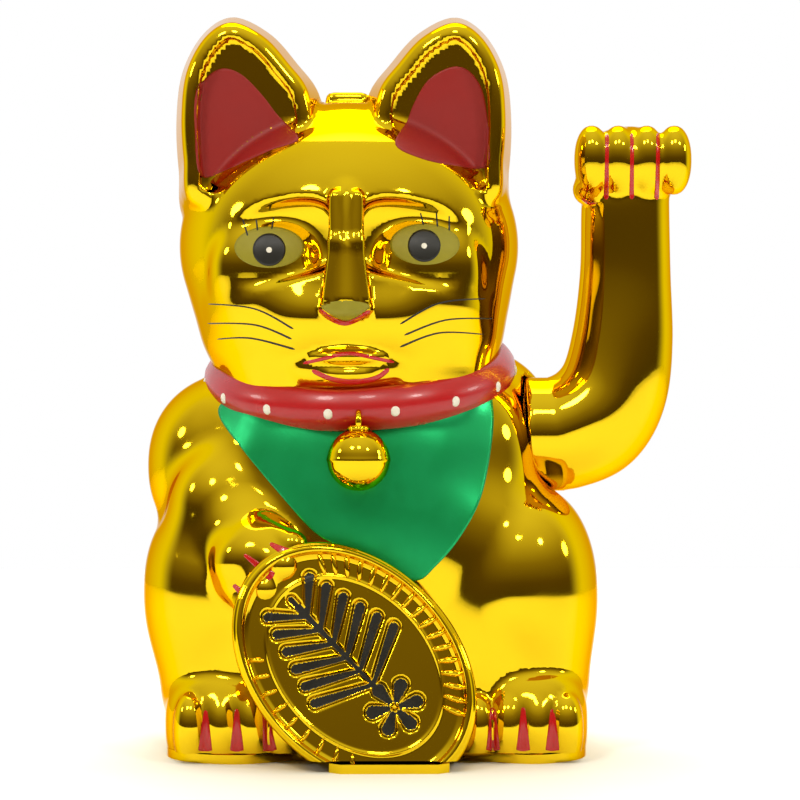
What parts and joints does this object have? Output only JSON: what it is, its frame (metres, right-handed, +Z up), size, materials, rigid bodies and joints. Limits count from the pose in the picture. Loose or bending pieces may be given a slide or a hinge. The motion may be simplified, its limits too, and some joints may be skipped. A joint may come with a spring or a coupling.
{
  "type": "beckoning cat figurine",
  "caption": "Seated beckoning cat figurine, hollow metallised plastic, holding an oval coin, with a raised arm swung by a pendulum and coil drive inside.",
  "frame": {"origin": "on the underside of the base plate, which is the resting face, below the middle of the neck and in the plane where the two body mouldings meet", "axes": "+Z up, the cat faces -Y, +X towards the raised arm"},
  "size_m": [0.1493, 0.1045, 0.2],
  "materials": {
    "gold_plated_abs": "vacuum-metallised gold, mirror",
    "black_abs": "moulded",
    "white_abs": "moulded",
    "steel": "plain steel",
    "nickel": "nickel plated",
    "brass": "turned",
    "cell_jacket": "printed film, plain",
    "copper": "enamelled copper",
    "board": "phenolic board",
    "red_insulation": "satin",
    "black_insulation": "satin"
  },
  "bodies": {
    "housing": {"back_shell": "gold_plated_abs", "base_plate": "gold_plated_abs", "base_screws": "steel", "battery_cell": "cell_jacket", "board_screws": "steel", "bracket_screws": "steel", "capacitor": "black_abs", "circuit_board": "board", "coil_bobbin": "white_abs", "coil_winding": "copper", "contact_negative": "nickel", "contact_positive": "nickel", "contact_spring": "nickel", "front_shell": "gold_plated_abs", "lead_negative": "black_insulation", "lead_positive": "red_insulation", "lead_switch": "black_insulation", "pivot_bracket": "white_abs", "resistor": "white_abs", "shaft_bushes": "brass", "switch_body": "black_abs", "transistor": "black_abs"},
    "waving_arm": {"arm_front_half": "gold_plated_abs", "arm_rear_half": "gold_plated_abs", "arm_hub": "white_abs", "arm_screws": "steel", "pivot_shaft": "steel", "shaft_clip": "steel", "pendulum_lever": "white_abs", "pendulum_magnet": "nickel", "counterweight": "steel"},
    "door": {"battery_door": "black_abs"},
    "knob": {"switch_knob": "black_abs"}
  },
  "joints": [
    {"name": "arm_wave", "type": "hinge", "parent": "housing", "child": "waving_arm", "pos_m": [0, 0, 0.0855], "axis": [1, 0, 0], "range_deg": [-20, 20]},
    {"name": "door_hinge", "type": "hinge", "parent": "housing", "child": "door", "pos_m": [-0.0395, 0.012, 0.0003], "axis": [0, 1, 0], "range_deg": [0, 60]},
    {"name": "knob_slide", "type": "slide", "parent": "housing", "child": "knob", "axis": [1, 0, 0], "range_m": [0, 0.003]}
  ]
}
